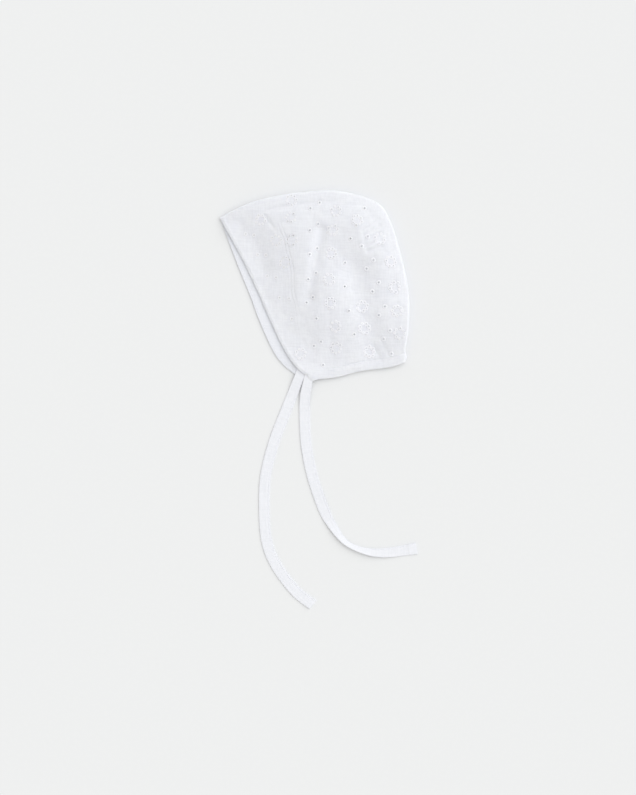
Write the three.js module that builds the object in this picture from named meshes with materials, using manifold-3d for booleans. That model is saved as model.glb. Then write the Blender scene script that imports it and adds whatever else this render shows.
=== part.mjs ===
// A baby bonnet of white eyelet cotton, folded flat and lying on its side.
// Its two side panels meet in a seam along one curved ridge, from the forehead over the crown to the
// nape. They are open at the face edge and at the neck edge, and a plain facing lines each face edge.
// +X runs from the forehead to the back of the head, +Y from the neck to the top of the head, +Z up.
// The origin is on the flat underside of the lower panel, on which the bonnet rests.

import * as THREE from 'three';
import Module from 'manifold-3d';
import { mergeVertices } from 'three/addons/utils/BufferGeometryUtils.js';

const wasm = await Module();
wasm.setup();

// Driving sizes in millimetres.
const BONNET_LENGTH = 171; // forehead peak to the back of the crown
const BONNET_HEIGHT = 170; // neck edge beside the tie up to the top of the ridge
const CLOTH = 1.0; // wall of one layer of cotton
const CLEARANCE = 0.3; // between pieces that are sewn to each other
const SEAM_HEIGHT = 4.6; // the ridge seam above the surface
const RIDGE_ROLL = 3.2; // how far in the upper panel takes to turn over from the seam
const MOUTH_RISE = 10.5; // the upper panel at the face edge
const NECK_RISE = 11; // the upper panel at the neck edge
const CROWN_RISE = 16; // the upper panel where it stands highest
const PUFF_RUN = 42; // how far in from its edges the upper panel keeps rising
const NECK_HEM = 8; // height of the turned hem along the neck
const SEAM_ALLOWANCE = 3; // kept free between a facing and what is sewn beside it
const EDGE_INSET = 0.7; // from a panel's edge to the edge of the piece that lines it
const EYELET = 2.1; // width of a single eyelet
const TIE_WIDTH = 9.8;
const TIE_THICKNESS = 1.2;
const NEAR_TIE_LENGTH = 225; // from the bonnet's corner to the hemmed end
const FAR_TIE_LENGTH = 227;
const TIE_TUCK = 8; // the stretch of each tie that is sewn in at the corner

// The point of rest, as shares of the length and the height.
const REST = { along: 0.554, up: 0.471 };

// Outlines, from above. Each row is a share of BONNET_LENGTH from the forehead peak and a share of
// BONNET_HEIGHT up from the neck edge.
const RIDGE = [
  { along: 0.000, up: 0.858 }, // forehead peak
  { along: 0.064, up: 0.893 },
  { along: 0.193, up: 0.946 },
  { along: 0.378, up: 0.985 },
  { along: 0.581, up: 1.000 }, // top of the head
  { along: 0.695, up: 0.984 },
  { along: 0.786, up: 0.956 },
  { along: 0.854, up: 0.915 }, // the tight turn of the crown
  { along: 0.894, up: 0.849 },
  { along: 0.924, up: 0.767 },
  { along: 0.957, up: 0.651 },
  { along: 0.986, up: 0.519 },
  { along: 1.000, up: 0.386 }, // the furthest point back
  { along: 0.994, up: 0.254 },
  { along: 0.979, up: 0.155 }, // pinched above the hem
  { along: 0.986, up: 0.118 },
  { along: 0.977, up: 0.090 }, // nape
];
const NEAR_FACE = [
  { along: 0.000, up: 0.858 },
  { along: 0.054, up: 0.757 },
  { along: 0.133, up: 0.609 },
  { along: 0.208, up: 0.446 },
  { along: 0.265, up: 0.314 },
  { along: 0.341, up: 0.154 },
  { along: 0.402, up: 0.066 },
  { along: 0.456, up: 0.021 },
];
const FAR_FACE = [
  { along: 0.000, up: 0.858 },
  { along: 0.032, up: 0.765 },
  { along: 0.091, up: 0.609 },
  { along: 0.157, up: 0.446 },
  { along: 0.208, up: 0.307 },
  { along: 0.277, up: 0.154 },
  { along: 0.330, up: 0.079 },
  { along: 0.393, up: 0.026 },
];
const NEAR_NECK = [
  { along: 0.456, up: 0.021 },
  { along: 0.483, up: -0.008 },
  { along: 0.523, up: 0.000 },
  { along: 0.620, up: 0.012 },
  { along: 0.737, up: 0.042 },
  { along: 0.898, up: 0.065 },
  { along: 0.977, up: 0.090 },
];
const FAR_NECK = [
  { along: 0.393, up: 0.026 },
  { along: 0.430, up: 0.013 },
  { along: 0.523, up: 0.014 },
  { along: 0.620, up: 0.030 },
  { along: 0.737, up: 0.058 },
  { along: 0.898, up: 0.080 },
  { along: 0.977, up: 0.090 },
];

// The inner edges of the facings, from the ridge down to the tie.
const NEAR_FACING = [
  { along: 0.305, up: 0.930 },
  { along: 0.322, up: 0.790 },
  { along: 0.365, up: 0.630 },
  { along: 0.386, up: 0.450 },
  { along: 0.412, up: 0.320 },
  { along: 0.450, up: 0.200 },
  { along: 0.530, up: 0.050 },
];
const FAR_FACING = [
  { along: 0.285, up: 0.930 },
  { along: 0.290, up: 0.790 },
  { along: 0.310, up: 0.630 },
  { along: 0.325, up: 0.450 },
  { along: 0.350, up: 0.320 },
  { along: 0.385, up: 0.200 },
  { along: 0.470, up: 0.050 },
];

// Folds and dents of the upper panel, each along one soft curve. Points are shares of the length and
// the height, width is a share of BONNET_LENGTH and rise a share of CROWN_RISE.
const FOLDS = [
  { name: 'valley below the seam allowance', from: [0.22, 0.880], via: [0.37, 0.930], to: [0.54, 0.937],
    width: 0.022, rise: -0.08 },
  { name: 'crease of the cheek, upper half', from: [0.600, 0.830], via: [0.580, 0.700], to: [0.520, 0.590],
    width: 0.036, rise: -0.20 },
  { name: 'crease of the cheek, lower half', from: [0.520, 0.590], via: [0.495, 0.500], to: [0.465, 0.400],
    width: 0.040, rise: -0.14 },
  { name: 'ridge before the crease', from: [0.455, 0.820], via: [0.455, 0.620], to: [0.425, 0.380],
    width: 0.060, rise: 0.11 },
  { name: 'dent of the crown', from: [0.700, 0.700], via: [0.765, 0.610], to: [0.885, 0.530],
    width: 0.095, rise: -0.30 },
  { name: 'valley of the back', from: [0.815, 0.470], via: [0.850, 0.330], to: [0.880, 0.160],
    width: 0.075, rise: -0.20 },
  { name: 'swell of the middle', from: [0.600, 0.560], via: [0.620, 0.400], to: [0.650, 0.180],
    width: 0.075, rise: 0.12 },
  { name: 'fold above the neck', from: [0.715, 0.360], via: [0.730, 0.250], to: [0.755, 0.130],
    width: 0.035, rise: 0.10 },
  { name: 'swell of the crown', from: [0.690, 0.860], via: [0.780, 0.820], to: [0.850, 0.720],
    width: 0.070, rise: 0.13 },
  { name: 'hollow of the brow', from: [0.130, 0.800], via: [0.190, 0.640], to: [0.270, 0.430],
    width: 0.060, rise: -0.10 },
];

// Columns of single eyelets. Each column holds evenly spaced repeats along a curve through a few
// points, and each eyelet's partner stands beside it. Shares of the length and the height.
const EYELET_COLUMNS = [
  { name: 'brow', repeats: 5, partner: [0.045, -0.003],
    through: [[0.135, 0.769], [0.248, 0.546], [0.378, 0.319]] },
  { name: 'cheek', repeats: 7, partner: [0.041, 0.030],
    through: [[0.476, 0.902], [0.473, 0.658], [0.456, 0.404], [0.495, 0.175]] },
  { name: 'ear', repeats: 5, partner: null,
    through: [[0.687, 0.741], [0.657, 0.488], [0.707, 0.236]] },
  { name: 'back', repeats: 5, partner: [0.034, 0.046],
    through: [[0.745, 0.700], [0.802, 0.462], [0.860, 0.212]] },
];

// Routes of the ties, from above, from the bonnet's corner to the end. Places are shares of the
// tie's own length; roll is how far the tie turns on its edge, in degrees, and spread is its width
// as a share of TIE_WIDTH.
const NEAR_TIE = [
  { across: 0.000, down: 0.000, roll: 0, spread: 0.84 },
  { across: -0.014, down: 0.068, roll: 0, spread: 0.96 },
  { across: -0.018, down: 0.136, roll: 0, spread: 1.00 },
  { across: -0.012, down: 0.268, roll: 0, spread: 1.00 },
  { across: 0.013, down: 0.400, roll: 0, spread: 1.00 },
  { across: 0.059, down: 0.534, roll: 14, spread: 1.00 },
  { across: 0.094, down: 0.600, roll: 42, spread: 1.00 },
  { across: 0.138, down: 0.659, roll: 66, spread: 1.00 },
  { across: 0.188, down: 0.690, roll: 68, spread: 1.00 },
  { across: 0.255, down: 0.707, roll: 50, spread: 1.00 },
  { across: 0.321, down: 0.707, roll: 30, spread: 1.00 },
  { across: 0.388, down: 0.698, roll: 6, spread: 1.04 },
  { across: 0.432, down: 0.691, roll: 0, spread: 1.09 },
];
const FAR_TIE = [
  { across: 0.000, down: 0.000, roll: 0, spread: 0.90 },
  { across: -0.054, down: 0.138, roll: 0, spread: 1.00 },
  { across: -0.104, down: 0.269, roll: 0, spread: 1.00 },
  { across: -0.133, down: 0.400, roll: 0, spread: 1.00 },
  { across: -0.138, down: 0.531, roll: 0, spread: 1.00 },
  { across: -0.128, down: 0.662, roll: 0, spread: 1.00 },
  { across: -0.090, down: 0.760, roll: 0, spread: 1.00 },
  { across: -0.017, down: 0.859, roll: 0, spread: 1.00 },
  { across: 0.051, down: 0.912, roll: 0, spread: 1.04 },
];
const NEAR_TIE_START = { along: 0.470, up: 0.014 };
const FAR_TIE_START = { along: 0.421, up: 0.019 };
const NEAR_TIE_LANDING = 0.16; // share of its length at which the near tie reaches the surface
const FAR_TIE_LANDING = 0.10;

// Fineness of the meshes.
const NEAR_COLUMNS = { face: 22, neck: 18 };
const FAR_COLUMNS = { face: 18, neck: 14 };
const ROLL_STEPS = 3;
const NEAR_ROWS = 18;
const FAR_ROWS = 6;
const FACING_STEPS = { long: 20, deep: 6 };
const HEM_STEPS = { long: 16, deep: 2 };
const TIE_STEPS = 56;
const EYELET_SIDES = 6;

const { Vector2, Vector3 } = THREE;

// A place given in shares, in millimetres from the origin.
function place({ along, up }) {
  return new Vector2((along - REST.along) * BONNET_LENGTH, (up - REST.up) * BONNET_HEIGHT);
}

// A line of many points on the smooth curve through a table's rows.
function smoothLine(rows, count) {
  return new THREE.SplineCurve(rows.map(place)).getSpacedPoints(count);
}

// The same line moved to its right, seen along its direction.
function movedRight(line, distance) {
  return line.map((point, index) => {
    const before = line[Math.max(index - 1, 0)];
    const after = line[Math.min(index + 1, line.length - 1)];
    const ahead = after.clone().sub(before).normalize();
    return new Vector2(point.x + ahead.y * distance, point.y - ahead.x * distance);
  });
}

function distanceTo(line, x, y) {
  let nearest = Infinity;
  for (let index = 1; index < line.length; index += 1) {
    const a = line[index - 1];
    const b = line[index];
    const runX = b.x - a.x;
    const runY = b.y - a.y;
    const along = ((x - a.x) * runX + (y - a.y) * runY) / (runX * runX + runY * runY);
    const share = THREE.MathUtils.clamp(along, 0, 1);
    nearest = Math.min(nearest, Math.hypot(a.x + share * runX - x, a.y + share * runY - y));
  }
  return nearest;
}

// The point at a share of a line whose points are evenly spaced.
function pointOn(line, share) {
  const position = THREE.MathUtils.clamp(share, 0, 1) * (line.length - 1);
  const index = Math.min(Math.floor(position), line.length - 2);
  return line[index].clone().lerp(line[index + 1], position - index);
}

function lengthOf(line) {
  return line.slice(1).reduce((sum, point, index) => sum + point.distanceTo(line[index]), 0);
}

// 0 at an edge, 1 once the run is covered, without a corner there.
function ease(share) {
  const left = 1 - THREE.MathUtils.clamp(share, 0, 1);
  return 1 - left * left;
}

// A quarter circle: upright at the seam and level once the roll is covered.
function quarterRound(share) {
  const left = 1 - THREE.MathUtils.clamp(share, 0, 1);
  return Math.sqrt(1 - left * left);
}

const LINE_STEPS = 120;
const ridgeLine = movedRight(smoothLine(RIDGE, LINE_STEPS), CLOTH / 2);
const nearFace = smoothLine(NEAR_FACE, LINE_STEPS);
const farFace = smoothLine(FAR_FACE, LINE_STEPS);
const nearNeck = smoothLine(NEAR_NECK, LINE_STEPS);
const farNeck = smoothLine(FAR_NECK, LINE_STEPS);
const lowerRoll = SEAM_HEIGHT - CLOTH / 2;

const foldLines = FOLDS.map(({ from, via, to, width, rise }) => {
  const [start, middle, end] = [from, via, to].map(([along, up]) => place({ along, up }));
  const points = new THREE.QuadraticBezierCurve(start, middle, end).getPoints(8);
  return { points, width: width * BONNET_LENGTH, rise: rise * CROWN_RISE };
});

function foldHeight(x, y) {
  return foldLines.reduce((sum, { points, width, rise }) => {
    const away = distanceTo(points, x, y) / width;
    return sum + rise * Math.exp(-away * away);
  }, 0);
}

// Height of the middle of the upper panel's cloth.
function upperHeight(x, y, fromRidge = distanceTo(ridgeLine, x, y)) {
  const fromFace = distanceTo(nearFace, x, y);
  const fromNeck = distanceTo(nearNeck, x, y);
  const towardNeck = fromFace / Math.max(fromFace + fromNeck, CLEARANCE);
  const edgeRise = MOUTH_RISE + (NECK_RISE - MOUTH_RISE) * towardNeck;
  const puff = ease(fromFace / PUFF_RUN) * ease(fromNeck / PUFF_RUN);
  const crest = edgeRise + (CROWN_RISE - edgeRise) * puff;
  const seam = SEAM_HEIGHT + CLEARANCE / 2;
  const dome = ease(fromRidge / PUFF_RUN);
  const rolled = seam + RIDGE_ROLL * quarterRound(fromRidge / RIDGE_ROLL);
  return rolled + (crest - seam - RIDGE_ROLL) * dome + foldHeight(x, y) * dome;
}

// Height of the middle of the lower panel's cloth.
function lowerHeight(x, y, fromRidge = distanceTo(ridgeLine, x, y)) {
  const seam = SEAM_HEIGHT - CLEARANCE / 2;
  return seam - (seam - CLOTH / 2) * quarterRound(fromRidge / lowerRoll);
}

// The inward direction at each point of the ridge.
function inwardAt(share) {
  const step = 0.5 / LINE_STEPS;
  const ahead = pointOn(ridgeLine, share + step).sub(pointOn(ridgeLine, share - step)).normalize();
  return new Vector2(ahead.y, -ahead.x);
}

// Turns a middle surface into one closed wall, half a cloth to each side along the normals.
function closedWall(points, triangles, normals) {
  const count = points.length;
  const corners = [CLOTH / 2, -CLOTH / 2].flatMap((offset) => (
    points.map((point, index) => point.clone().addScaledVector(normals[index], offset))
  ));
  const sides = new Map();
  const faces = [];
  triangles.forEach(([a, b, c]) => {
    faces.push(a, b, c, c + count, b + count, a + count);
    [[a, b], [b, c], [c, a]].forEach(([start, end]) => sides.set(`${start} ${end}`, [start, end]));
  });
  sides.forEach(([start, end]) => {
    if (!sides.has(`${end} ${start}`)) {
      faces.push(start, start + count, end, end, start + count, end + count);
    }
  });
  return solidFrom(corners, faces);
}

function solidFrom(corners, faces) {
  const geometry = new THREE.BufferGeometry();
  const values = corners.flatMap(({ x, y, z }) => [x, y, z]);
  geometry.setAttribute('position', new THREE.Float32BufferAttribute(values, 3));
  geometry.setIndex(faces);
  return geometry;
}

// Averaged face directions at the points of an open surface.
function normalsOf(points, triangles) {
  const open = solidFrom(points, triangles.flat());
  open.computeVertexNormals();
  const values = open.getAttribute('normal');
  return points.map((_, index) => new Vector3().fromBufferAttribute(values, index));
}

// The triangles of a grid of point numbers, without those that fall together.
function gridTriangles(grid, upward) {
  const triangles = [];
  for (let i = 1; i < grid.length; i += 1) {
    for (let j = 1; j < grid[i].length; j += 1) {
      const corners = [grid[i - 1][j - 1], grid[i][j - 1], grid[i][j], grid[i - 1][j]];
      [[0, 2, 1], [0, 3, 2]].forEach((order) => {
        const triangle = order.map((corner) => corners[corner]);
        if (new Set(triangle).size === 3) {
          triangles.push(upward ? triangle : triangle.reverse());
        }
      });
    }
  }
  return triangles;
}

// A side panel. Its columns fan from the ridge to the face edge and the neck edge, and its first
// rows follow the roll at the ridge.
function sidePanel({ face, neck, columns, rows, roll, height, upward }) {
  const total = columns.face + columns.neck;
  const backFromNape = neck.slice().reverse();
  const points = [];
  const normalsAtSeam = new Map();
  const grid = [];
  for (let i = 0; i <= total; i += 1) {
    const share = i / total;
    const top = pointOn(ridgeLine, share);
    const inward = inwardAt(share);
    const rollPoint = (depth) => {
      if (i === 0) return pointOn(face, depth / lengthOf(face));
      if (i === total) return pointOn(backFromNape, depth / lengthOf(neck));
      return top.clone().addScaledVector(inward, depth);
    };
    const column = [];
    for (let j = 0; j <= ROLL_STEPS; j += 1) {
      const depth = roll * (1 - Math.cos((j / ROLL_STEPS) * (Math.PI / 2)));
      const spot = rollPoint(depth);
      if (j === 0) {
        normalsAtSeam.set(points.length, new Vector3(-inward.x, -inward.y, 0));
      }
      column.push(points.length);
      points.push(new Vector3(spot.x, spot.y, height(spot.x, spot.y, depth)));
    }
    const start = rollPoint(roll);
    const faceShare = i / columns.face;
    const faceRest = roll / lengthOf(face);
    const neckRest = roll / lengthOf(neck);
    const edge = i <= columns.face
      ? pointOn(face, faceRest + (1 - faceRest) * faceShare)
      : pointOn(neck, ((i - columns.face) / columns.neck) * (1 - neckRest));
    for (let j = 1; j <= rows; j += 1) {
      if (i === 0 || i === total) {
        column.push(column[ROLL_STEPS]);
      } else {
        const spot = start.clone().lerp(edge, j / rows);
        column.push(points.length);
        points.push(new Vector3(spot.x, spot.y, height(spot.x, spot.y)));
      }
    }
    grid.push(column);
  }
  const triangles = gridTriangles(grid, upward);
  const normals = normalsOf(points, triangles);
  normalsAtSeam.forEach((direction, index) => normals[index].copy(direction));
  return closedWall(points, triangles, normals);
}

// A layer inside a panel, on the patch between four lines: `edge` and `inner` run side by side, and
// `start` and `end` join them. `drop` is how far it lies inside the middle of the panel's cloth.
function innerLayer({ edge, inner, start, end, steps, height, upward, drop }) {
  const points = [];
  const grid = [];
  for (let i = 0; i <= steps.long; i += 1) {
    const v = i / steps.long;
    const column = [];
    for (let j = 0; j <= steps.deep; j += 1) {
      const u = j / steps.deep;
      const across = pointOn(edge, v).lerp(pointOn(inner, v), u);
      const along = pointOn(start, u).lerp(pointOn(end, u), v);
      const first = pointOn(start, 0).lerp(pointOn(start, 1), u);
      const last = pointOn(end, 0).lerp(pointOn(end, 1), u);
      const spot = across.add(along).sub(first.lerp(last, v));
      column.push(points.length);
      points.push(new Vector3(spot.x, spot.y, height(spot.x, spot.y)));
    }
    grid.push(column);
  }
  const triangles = gridTriangles(grid, !upward);
  const normals = normalsOf(points, triangles);
  const lined = points.map((point, index) => point.clone().addScaledVector(normals[index], -drop));
  return closedWall(lined, triangles, normals);
}

// The piece of a line between two shares, with evenly spaced points.
function stretch(line, from, to) {
  return Array.from({ length: 41 }, (_, index) => pointOn(line, from + ((to - from) * index) / 40));
}

// The piece of a line whose points pass a test.
function stretchWhere(line, test) {
  const inside = line.map((point, index) => (test(point) ? index : -1)).filter((index) => index >= 0);
  return stretch(line, inside[0] / (line.length - 1), inside.at(-1) / (line.length - 1));
}

const ridgeGap = RIDGE_ROLL + SEAM_ALLOWANCE;
const clearOfRidge = ({ x, y }) => distanceTo(ridgeLine, x, y) > ridgeGap;

// The four lines of a facing: down the face edge, with its top end along the ridge.
function facingLines(face, innerRows, neck) {
  const neckGap = Math.max(NECK_HEM, TIE_TUCK) + SEAM_ALLOWANCE;
  const clear = (point) => clearOfRidge(point) && distanceTo(neck, point.x, point.y) > neckGap;
  const edge = stretchWhere(movedRight(face, -EDGE_INSET), clear);
  const inner = stretchWhere(smoothLine(innerRows, LINE_STEPS), clear);
  const besideRidge = movedRight(ridgeLine, ridgeGap);
  const [from, to] = [edge[0], inner[0]].map((point) => nearestShare(besideRidge, point));
  const start = stretch(besideRidge, from, to);
  start[0] = edge[0].clone();
  start[start.length - 1] = inner[0].clone();
  return { edge, inner, start, end: stretch([edge.at(-1), inner.at(-1)], 0, 1) };
}

// The four lines of the hem turned in along a neck edge, from beside the tie to the nape.
function hemLines(neck, tieStart) {
  const besideTie = place(tieStart).x + TIE_WIDTH;
  const clear = (point) => clearOfRidge(point) && point.x > besideTie;
  const edge = stretchWhere(movedRight(neck, -EDGE_INSET), clear);
  const inner = stretchWhere(movedRight(neck, -NECK_HEM), clear);
  return {
    edge,
    inner,
    start: stretch([edge[0], inner[0]], 0, 1),
    end: stretch([edge.at(-1), inner.at(-1)], 0, 1),
  };
}

function nearestShare(line, target) {
  const distances = line.map((point) => point.distanceTo(target));
  return distances.indexOf(Math.min(...distances)) / (line.length - 1);
}

// A tie: a flat band swept along its route. Its first stretch lies straight under the cloth that
// holds it, and `level` gives the height of its underside.
function tie({ rows, start, length, level }) {
  const corner = place(start);
  const route = new THREE.SplineCurve(rows.map(({ across, down }) => (
    new Vector2(corner.x + across * length, corner.y - down * length)
  )));
  const rollCurve = new THREE.SplineCurve(rows.map(({ roll, spread }) => new Vector2(roll, spread)));
  const corners = [];
  const first = route.getTangentAt(0);
  for (let step = -3; step <= TIE_STEPS; step += 1) {
    const share = Math.max(step, 0) / TIE_STEPS;
    const back = (Math.min(step, 0) / 3) * TIE_TUCK;
    const spot = route.getPointAt(share).addScaledVector(first, back);
    const ahead = route.getTangentAt(share);
    const { x: roll, y: spread } = rollCurve.getPoint(route.getUtoTmapping(share));
    const turn = THREE.MathUtils.degToRad(Math.max(roll, 0));
    const left = new Vector3(-ahead.y * Math.cos(turn), ahead.x * Math.cos(turn), Math.sin(turn));
    const upward = new Vector3(ahead.y * Math.sin(turn), -ahead.x * Math.sin(turn), Math.cos(turn));
    const half = (TIE_WIDTH * spread) / 2;
    const lowest = half * Math.sin(turn) + (TIE_THICKNESS / 2) * Math.cos(turn);
    const middle = new Vector3(spot.x, spot.y, level(share) + lowest);
    [[-1, -1], [1, -1], [1, 1], [-1, 1]].forEach(([side, face]) => {
      corners.push(middle.clone()
        .addScaledVector(left, side * half)
        .addScaledVector(upward, face * (TIE_THICKNESS / 2)));
    });
  }
  return sweptSolid(corners, 4);
}

// Joins sections of equally many corners into one closed solid with flat ends.
function sweptSolid(corners, sides) {
  const sections = corners.length / sides;
  const faces = [0, 2, 1, 0, 3, 2];
  for (let section = 1; section < sections; section += 1) {
    for (let side = 0; side < sides; side += 1) {
      const next = (side + 1) % sides;
      const near = (section - 1) * sides;
      const far = section * sides;
      faces.push(near + side, far + next, far + side, near + side, near + next, far + next);
    }
  }
  const last = (sections - 1) * sides;
  faces.push(last, last + 1, last + 2, last, last + 2, last + 3);
  return solidFrom(corners, faces);
}

function solidOf(geometry) {
  const bare = geometry.clone();
  bare.deleteAttribute('normal');
  bare.deleteAttribute('uv');
  const merged = mergeVertices(bare);
  return new wasm.Manifold(new wasm.Mesh({
    numProp: 3,
    vertProperties: merged.getAttribute('position').array,
    triVerts: Uint32Array.from(merged.getIndex().array),
  }));
}

function geometryOf(solid) {
  const { vertProperties, triVerts } = solid.getMesh();
  const geometry = new THREE.BufferGeometry();
  geometry.setAttribute('position', new THREE.BufferAttribute(vertProperties, 3));
  geometry.setIndex(new THREE.BufferAttribute(triVerts, 1));
  return geometry;
}

// The places of all single eyelets, from above.
function eyeletPlaces() {
  return EYELET_COLUMNS.flatMap(({ through, repeats, partner }) => {
    const curve = new THREE.SplineCurve(through.map(([along, up]) => place({ along, up })));
    const column = curve.getSpacedPoints(repeats - 1);
    if (!partner) return column;
    const beside = new Vector2(partner[0] * BONNET_LENGTH, partner[1] * BONNET_HEIGHT);
    return column.flatMap((spot) => [spot, spot.clone().add(beside)]);
  });
}

// Cuts every eyelet straight through a panel.
function pierced(panel) {
  const tall = 2 * (CROWN_RISE + CLOTH);
  const drill = new THREE.CylinderGeometry(EYELET / 2, EYELET / 2, tall, EYELET_SIDES);
  drill.rotateX(Math.PI / 2);
  const cut = eyeletPlaces().reduce((solid, { x, y }) => (
    solid.subtract(solidOf(drill.clone().translate(x, y, 0)))
  ), solidOf(panel));
  return geometryOf(cut);
}

// Underside of the upper panel above a tie's start, at its lowest across the tie's width.
function underUpperPanel({ x, y }) {
  const sides = [-1, 0, 1].map((side) => x + (side * TIE_WIDTH) / 2);
  const middle = Math.min(...sides.map((at) => upperHeight(at, y)));
  return middle - CLOTH / 2 - 2 * CLEARANCE;
}

const nearTieTop = underUpperPanel(place(NEAR_TIE_START)) - TIE_THICKNESS;
const farTieTop = CLOTH + CLEARANCE;

// A tie's way down from its corner to the surface.
function landing(top, share, landed) {
  return top * (1 - THREE.MathUtils.smoothstep(share, 0, landed));
}

const cotton = (color) => new THREE.MeshStandardMaterial({ color, roughness: 0.9, metalness: 0 });

function piece(name, geometry, color) {
  const mesh = new THREE.Mesh(geometry, cotton(color));
  mesh.name = name;
  return mesh;
}

const upper = { height: upperHeight, upward: true };
const lower = { height: lowerHeight, upward: false };
const inside = CLOTH + CLEARANCE;

const bonnet = new THREE.Group();
bonnet.add(
  piece('side_panel_near', pierced(sidePanel({
    ...upper,
    face: nearFace,
    neck: nearNeck,
    columns: NEAR_COLUMNS,
    rows: NEAR_ROWS,
    roll: RIDGE_ROLL,
  })), '#eef1f6'),
  piece('side_panel_far', pierced(sidePanel({
    ...lower,
    face: farFace,
    neck: farNeck,
    columns: FAR_COLUMNS,
    rows: FAR_ROWS,
    roll: lowerRoll,
  })), '#e9ecf2'),
  piece('front_facing_near', innerLayer({
    ...upper,
    ...facingLines(nearFace, NEAR_FACING, nearNeck),
    steps: FACING_STEPS,
    drop: inside,
  }), '#e6e9ef'),
  piece('front_facing_far', innerLayer({
    ...lower,
    ...facingLines(farFace, FAR_FACING, farNeck),
    steps: FACING_STEPS,
    drop: inside,
  }), '#e6e9ef'),
  piece('neck_hem_near', innerLayer({
    ...upper,
    ...hemLines(nearNeck, NEAR_TIE_START),
    steps: HEM_STEPS,
    drop: inside,
  }), '#eceff5'),
  piece('neck_hem_far', innerLayer({
    ...lower,
    ...hemLines(farNeck, FAR_TIE_START),
    steps: HEM_STEPS,
    drop: inside,
  }), '#eceff5'),
  piece('tie_near', tie({
    rows: NEAR_TIE,
    start: NEAR_TIE_START,
    length: NEAR_TIE_LENGTH,
    level: (share) => landing(nearTieTop, share, NEAR_TIE_LANDING),
  }), '#eceff5'),
  piece('tie_far', tie({
    rows: FAR_TIE,
    start: FAR_TIE_START,
    length: FAR_TIE_LENGTH,
    level: (share) => landing(farTieTop, share, FAR_TIE_LANDING),
  }), '#eceff5'),
);

export default bonnet;
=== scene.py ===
# %% [markdown]
# # A white eyelet bonnet, lying on its side
# This script dresses a folded cotton bonnet for a baby. The solids of the part give every piece its
# place and size, and the script makes the cloth itself: thin walls with cut eyelets, worked edges,
# turned hems, stitching and two ties. Lengths are in millimetres until a mesh is made.

# %% Load the frame
import math

import bpy
import numpy as np
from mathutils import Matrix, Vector
from mathutils.geometry import delaunay_2d_cdt


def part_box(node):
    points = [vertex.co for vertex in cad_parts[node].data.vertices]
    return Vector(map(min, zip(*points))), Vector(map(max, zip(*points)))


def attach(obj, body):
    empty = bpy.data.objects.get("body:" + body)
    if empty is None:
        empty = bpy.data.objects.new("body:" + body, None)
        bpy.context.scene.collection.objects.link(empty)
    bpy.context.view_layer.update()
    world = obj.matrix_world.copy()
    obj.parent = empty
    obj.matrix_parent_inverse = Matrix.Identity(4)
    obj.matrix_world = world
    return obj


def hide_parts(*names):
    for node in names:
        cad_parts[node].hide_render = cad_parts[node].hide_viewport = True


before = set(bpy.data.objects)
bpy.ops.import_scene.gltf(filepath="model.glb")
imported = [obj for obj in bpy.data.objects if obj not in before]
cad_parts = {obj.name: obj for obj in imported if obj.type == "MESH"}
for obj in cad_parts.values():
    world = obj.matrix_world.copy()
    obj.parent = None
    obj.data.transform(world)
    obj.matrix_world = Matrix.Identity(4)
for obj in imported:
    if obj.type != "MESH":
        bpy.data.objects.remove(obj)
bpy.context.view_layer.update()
MM = 0.001
print("solids:", ", ".join(sorted(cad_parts)))

# %% [markdown]
# ## Sizes and outlines
# The bonnet is two side panels that meet in a seam along one ridge, from the forehead over the crown
# to the nape. The length and the height come from the solid of the upper panel, so every outline can
# be written as shares of them. The same outline tables as in the solids keep the two in step.

# %% Driving sizes
# The origin's place, as shares of the length and the height.
REST_ALONG = 0.554
REST_UP = 0.471
near_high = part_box("side_panel_near")[1]
LENGTH = near_high.x / MM / (1 - REST_ALONG)
HEIGHT = near_high.y / MM / (1 - REST_UP)

# The seam: its height, how widely each panel turns to it, and how it dips near its two ends.
SEAM_HEIGHT = 6.0
RIDGE_ROLL = 1.8
LOWER_ROLL = 4.6
SEAM_DIP = 3.6
ROLL_DIP = 0.6
END_RUN = 16.0
# The upper panel: its heights at the open edges and at the crown, the curl of its neck edge, and
# how far in from each edge it rises.
FACE_REST = 3.4
NECK_REST = 3.2
NECK_CURL = 0.7
NECK_CURL_RUN = 1.6
CORNER_REST = 4.8
CORNER_RUN = 22.0
CROWN_RISE = 12.6
FACE_RUN = 58.0
NECK_RUN = 56.0
RIDGE_RUN = 33.0
# The cloth: the lower panel lies on its worked edges, and a gap parts the panels at the seam.
WORKED_LIFT = 0.3
CLEARANCE = 0.3
NECK_HEM = 8.0
WALL = 0.7
print(f"length {LENGTH:.1f} mm, height {HEIGHT:.1f} mm")

# %% Outlines
RIDGE = [
    (0.000, 0.858), (0.064, 0.893), (0.193, 0.946), (0.378, 0.985), (0.581, 1.000), (0.695, 0.984),
    (0.786, 0.956), (0.854, 0.915), (0.894, 0.849), (0.924, 0.767), (0.957, 0.651), (0.986, 0.519),
    (1.000, 0.386), (0.994, 0.254), (0.979, 0.155), (0.986, 0.118), (0.977, 0.090),
]
NEAR_FACE = [
    (0.000, 0.858), (0.054, 0.757), (0.133, 0.609), (0.208, 0.446), (0.265, 0.314), (0.341, 0.154),
    (0.402, 0.066), (0.456, 0.021),
]
FAR_FACE = [
    (0.000, 0.858), (0.032, 0.765), (0.091, 0.609), (0.157, 0.446), (0.208, 0.307), (0.277, 0.154),
    (0.330, 0.079), (0.393, 0.026),
]
NEAR_NECK = [
    (0.456, 0.021), (0.483, -0.008), (0.523, 0.000), (0.620, 0.012), (0.737, 0.042), (0.898, 0.065),
    (0.977, 0.090),
]
FAR_NECK = [
    (0.393, 0.026), (0.430, 0.013), (0.523, 0.014), (0.620, 0.030), (0.737, 0.058), (0.898, 0.080),
    (0.977, 0.090),
]
NEAR_FACING = [
    (0.305, 0.930), (0.322, 0.790), (0.365, 0.630), (0.386, 0.450), (0.412, 0.320), (0.450, 0.200),
    (0.530, 0.050),
]
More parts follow.
